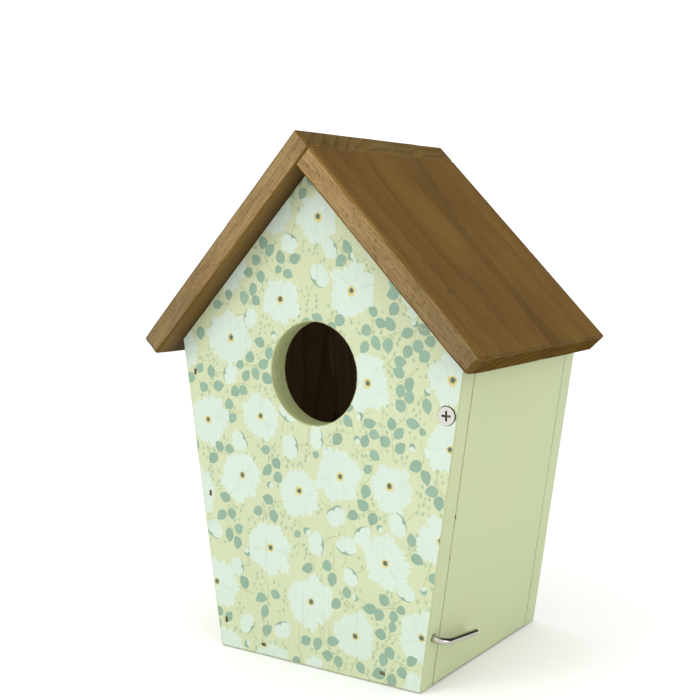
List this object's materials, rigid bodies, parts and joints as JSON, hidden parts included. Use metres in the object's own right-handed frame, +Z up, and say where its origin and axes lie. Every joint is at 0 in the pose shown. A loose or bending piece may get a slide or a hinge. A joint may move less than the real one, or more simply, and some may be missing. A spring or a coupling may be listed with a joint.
{
  "type": "birdhouse",
  "caption": "Gable-roofed wooden nest box with a round entrance, a clean-out side that pivots on two screws, and a wire turn hook that latches it.",
  "frame": {"origin": "centre of the footprint, at the bottom of the walls", "axes": "+Z up, -Y out of the entrance, +Y out of the back, +X towards the clean-out door"},
  "size_m": [0.1492, 0.104, 0.1985],
  "materials": {
    "printed_paint": "matt sage-green paint with a printed pattern of pale flowers and leaves",
    "green_paint": "matt sage-green paint over softwood",
    "stained_wood": "brown stain, open grain",
    "bare_wood": "unfinished softwood",
    "nickel": "bright nickel plate",
    "brad_steel": "bright steel, dulled"
  },
  "bodies": {
    "house": {"front_panel": "printed_paint", "back_panel": "green_paint", "left_side": "green_paint", "floor_board": "bare_wood", "roof_left": "stained_wood", "roof_right": "stained_wood", "brads_front_side": "brad_steel", "brads_front_floor": "brad_steel", "brads_back_side": "brad_steel", "brads_back_floor": "brad_steel", "brads_side_floor": "brad_steel", "brads_roof_left_front": "brad_steel", "brads_roof_left_back": "brad_steel", "brads_roof_right_front": "brad_steel", "brads_roof_right_back": "brad_steel", "brads_ridge": "brad_steel"},
    "side_door": {"side_door": "green_paint", "pivot_screw_front": "nickel", "pivot_screw_back": "nickel"},
    "latch_hook": {"latch_hook": "nickel"}
  },
  "joints": [
    {"name": "door_swing", "type": "hinge", "parent": "house", "child": "side_door", "pos_m": [0.05567, 0, 0.1], "axis": [0, -1, 0], "range_deg": [0, 120]},
    {"name": "latch_turn", "type": "hinge", "parent": "house", "child": "latch_hook", "pos_m": [0.04833, -0.03775, 0.0196], "axis": [0.9897, 0, -0.1431], "range_deg": [-35, 100]}
  ]
}
